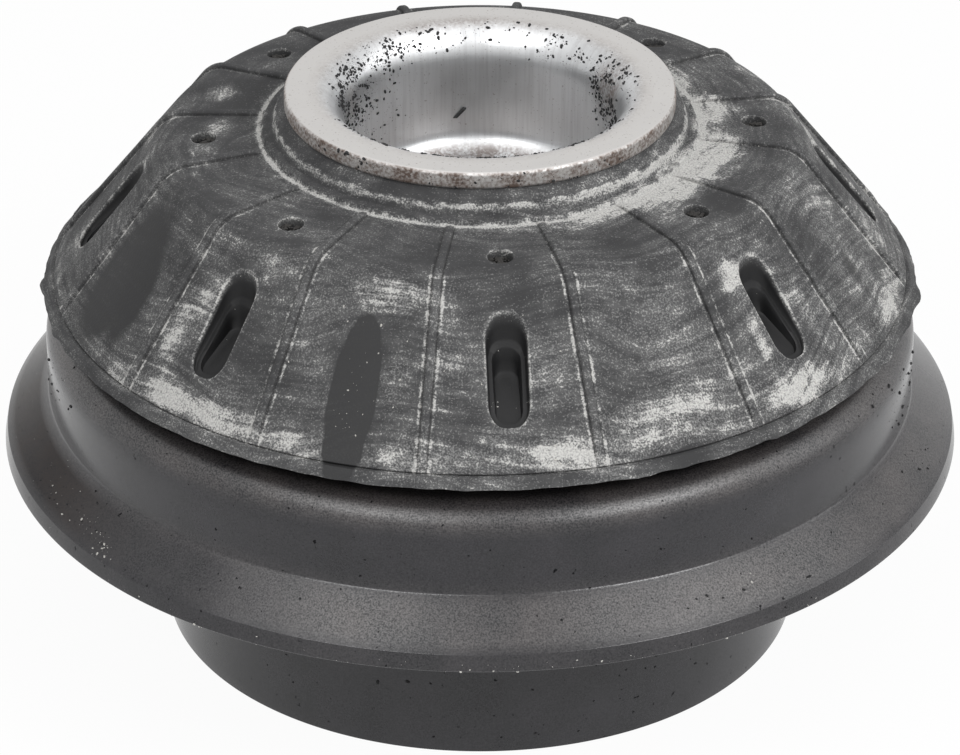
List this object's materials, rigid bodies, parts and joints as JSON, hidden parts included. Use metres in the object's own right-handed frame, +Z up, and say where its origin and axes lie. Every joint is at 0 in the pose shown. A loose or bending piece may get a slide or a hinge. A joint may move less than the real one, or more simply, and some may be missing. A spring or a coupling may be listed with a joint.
{
  "type": "strut mount",
  "caption": "Suspension strut top mount: ribbed rubber cone bonded round a flanged rod cup, swivelling on a ball thrust bearing over a black pressed spring seat with a pilot tube.",
  "frame": {"origin": "centre of the pilot tube's lower end, on the surface that the part stands on", "axes": "+Z up along the strut's axis, towards the car's body; the slots' pattern is turned 4 degrees from +X"},
  "size_m": [0.16, 0.16, 0.0936],
  "materials": {
    "coated_steel": "satin",
    "housing_plastic": "matte",
    "race_steel": "ground",
    "ball_steel": "polished",
    "cage_plastic": "matte",
    "seal_rubber": "matte",
    "plate_steel": "phosphated",
    "cone_rubber": "matte",
    "cup_steel": "satin"
  },
  "bodies": {
    "seat": {"spring_seat": "coated_steel", "bearing_base": "housing_plastic", "lower_race": "race_steel"},
    "cage": {"bearing_cage": "cage_plastic", "bearing_balls": "ball_steel"},
    "mount": {"rod_cup": "cup_steel", "rubber_cone": "cone_rubber", "support_plate": "plate_steel", "bearing_cap": "housing_plastic", "upper_race": "race_steel", "outer_seal": "seal_rubber", "inner_seal": "seal_rubber"}
  },
  "joints": [
    {"name": "mount_swivel", "type": "hinge", "parent": "seat", "child": "mount", "pos_m": [0, 0, 0.06046], "axis": [0, 0, 1], "continuous": true},
    {"name": "cage_roll", "type": "hinge", "parent": "seat", "child": "cage", "pos_m": [0, 0, 0.06046], "axis": [0, 0, 1], "continuous": true}
  ],
  "couplings": [
    {"joint": "cage_roll", "follows": "mount_swivel", "ratio": 0.5}
  ]
}
